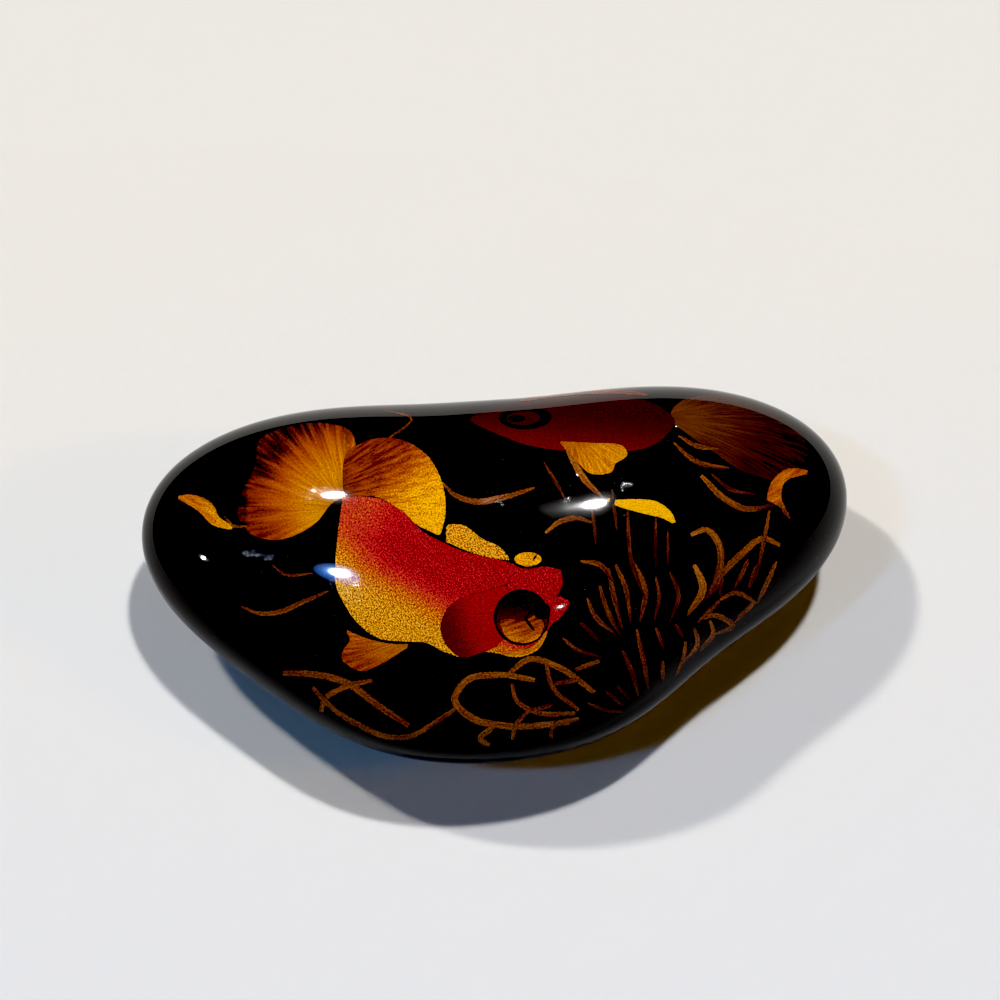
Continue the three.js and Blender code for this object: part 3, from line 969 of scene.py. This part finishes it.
def make_painting(black):
    gold = paint("gold_paint", GOLD_STOPS, grain=0.22, grain_size=0.32, streak=0.16, gaps=0.4)
    fan = paint("fan_paint", GOLD_STOPS, grain=0.14, grain_size=0.4, streak=0.12, streak_size=1.6,
                wear=0.14)
    body = paint("scale_paint", BODY_STOPS, grain=0.36, grain_size=0.34, streak=0.05, wear=0.0,
                 gaps=1.4)
    crimson = paint("crimson_paint", CRIMSON_STOPS, grain=0.16, grain_size=0.45, streak=0.03, wear=0.3)
    weed = paint("weed_paint", WEED_STOPS, grain=0.22, grain_size=0.4, streak=0.16, wear=0.4)
    tail = paint("tail_paint", WEED_STOPS, grain=0.1, grain_size=0.4, streak=0.12, streak_size=1.3,
                 wear=0.2)
    near_goldfish(black, gold, fan, body, crimson, weed)
    far_goldfish(black, gold, crimson, weed, tail)
    waterweed(weed, gold)


# ---------------------------------------------------------------- floor, light and camera

def make_floor():
    """A pale, matt table top, a little bluer in front and warmer at the back: a painted tint of cool light
    in front and warm light behind.
    """
    size = TABLE_HALF_SIDE
    mesh = bpy.data.meshes.new("table_top")
    corners = [(-size, -size, 0), (size, -size, 0), (size, size, 0), (-size, size, 0)]
    mesh.from_pydata(corners, [], [(0, 1, 2, 3)])
    table = bpy.data.objects.new("table_top", mesh)
    bpy.context.scene.collection.objects.link(table)
    shader = Shader("table_top", Roughness=0.5, Specular_IOR_Level=0.0)
    place = shader.place()
    mottle = shader.noise(place, 3.0, 2.0)
    # Painted light: the colour turns from bluish in front to warm at the back, as the lamps' tints fall on
    # the table.
    back = shader.remap(shader.add("SeparateXYZ", {0: place}).outputs["Y"], -0.2, 0.2)
    shade = shader.math("MULTIPLY_ADD", mottle, 0.2, shader.math("MULTIPLY", back, 0.8))
    # The ramp's bluish and warm ends are the painted light tint; the mottle is the top's own uneven tone.
    shader.set("Base Color", shader.ramp(shade, [(0.05, (0.76, 0.785, 0.835)), (0.9, (0.82, 0.80, 0.765))]))
    mesh.materials.append(shader.material)


def add_light(name, lamp, way, place, shades, shines):
    """A lamp that looks back along its way, and lights matt things or is mirrored in gloss."""
    light = bpy.data.objects.new(name, lamp)
    light.location = Vector(place) * MM
    light.rotation_euler = way.to_track_quat("Z", "Y").to_euler()
    light.visible_diffuse, light.visible_glossy = shades, shines
    light.visible_camera = False
    bpy.context.scene.collection.objects.link(light)


def add_far_light(name, direction, strength, colour):
    """A big soft lamp far away, which lights the whole table evenly."""
    lamp = bpy.data.lights.new(name, "SUN")
    lamp.energy, lamp.color, lamp.angle = strength, colour, FAR_LIGHT_ANGLE
    way = Vector(direction).normalized()
    add_light(name, lamp, way, way * FAR_LIGHT_DISTANCE, True, False)


def add_glint(name, target, direction, size, power, colour):
    """A small oval lamp that is only mirrored in the gloss; the target is where its glint lies."""
    lamp = bpy.data.lights.new(name, "AREA")
    lamp.shape, lamp.energy, lamp.color = "ELLIPSE", power, colour
    lamp.size, lamp.size_y = size[0] * MM, size[1] * MM
    way = Vector(direction).normalized()
    add_light(name, lamp, way, Vector(target) + way * GLINT_DISTANCE, False, True)


def make_lights():
    add_far_light("key_light", (0.24, 0.17, 1), 1.95, (1, 0.98, 0.95))
    add_far_light("back_left_light", (-0.75, 0.405, 1), 1.4, (1, 0.95, 0.87))
    add_far_light("front_left_light", (-0.78, -0.69, 1), 0.6, (0.35, 0.6, 1))
    add_far_light("warm_low_light", (0.95, -0.35, 0.5), 0.36, (1, 0.58, 0.18))
    back_left = (-44.4, 3.4, 48.5)
    front_left = (-41.8, -24.1, 46.9)
    add_glint("glint_key", (16.5, -39, 50), (0.118, 0.208, 0.971), (20, 20), 9, (1, 1, 0.97))
    add_glint("glint_back", (41, -4, 52), (0.029, 0.765, 0.644), (44, 26), 26, (1, 0.99, 0.97))
    add_glint("glint_back_left", back_left, (-0.247, 0.741, 0.625), (60, 30), 30, (1, 0.99, 0.97))
    add_glint("glint_front_left", front_left, (-0.383, 0.374, 0.845), (70, 44), 30, (0.8, 0.9, 1))
    add_glint("glint_left", (-79.3, -10.6, 38.5), (-0.751, 0.32, 0.577), (40, 40), 11, (1, 1, 1))
    for ring in range(HALO_RINGS):
        size = (85 + 34 * ring, 54 + 24 * ring)
        add_glint(f"blue_halo_{ring + 1}", (-43, -23.5, 46.9), (-0.389, 0.372, 0.845), size, 1.6,
                  (0.08, 0.3, 1))


def make_surroundings():
    """Dim walls and a darker ceiling, so that the black stays deep; the camera sees a pale backdrop."""
    world = bpy.data.worlds.new("studio")
    bpy.context.scene.world = world
    world.use_nodes = True
    nodes, links = world.node_tree.nodes, world.node_tree.links
    place = nodes.new("ShaderNodeTexCoord")
    split = nodes.new("ShaderNodeSeparateXYZ")
    links.new(place.outputs["Generated"], split.inputs[0])
    ramp = nodes.new("ShaderNodeValToRGB")
    links.new(split.outputs["Z"], ramp.inputs["Fac"])
    elements = ramp.color_ramp.elements
    elements[0].position, elements[0].color = 0.0, (0.06, 0.057, 0.054, 1)
    elements[1].position, elements[1].color = 0.4, (0.002, 0.002, 0.002, 1)
    middle = elements.new(0.12)
    middle.color = (0.014, 0.014, 0.014, 1)
    path = nodes.new("ShaderNodeLightPath")
    seen = nodes.new("ShaderNodeMix")
    seen.data_type = "RGBA"
    links.new(path.outputs["Is Camera Ray"], seen.inputs["Factor"])
    links.new(ramp.outputs["Color"], seen.inputs["A"])
    seen.inputs["B"].default_value = (0.80, 0.80, 0.78, 1)
    links.new(seen.outputs["Result"], nodes["Background"].inputs["Color"])


def make_camera():
    lens = bpy.data.cameras.new("camera")
    lens.lens, lens.sensor_width = LENS, 36
    lens.clip_start, lens.clip_end = 0.01, 30
    camera = bpy.data.objects.new("camera", lens)
    camera.location = EYE * MM
    camera.rotation_euler = (-LOOK_ALONG).to_track_quat("Z", "Y").to_euler()
    bpy.context.scene.collection.objects.link(camera)
    bpy.context.scene.camera = camera
    look = bpy.context.scene.view_settings
    look.view_transform = "Standard"
    look.use_curve_mapping = True
    look.curve_mapping.black_level = (0.012, 0.012, 0.012)


def make_bowl_and_lid():
    black, red = black_lacquer(), red_lacquer()
    make_lid(black, red)
    make_bowl(black, red)
    make_feet(felt())
    make_painting(black)


make_camera()
make_floor()
make_lights()
make_surroundings()
make_bowl_and_lid()
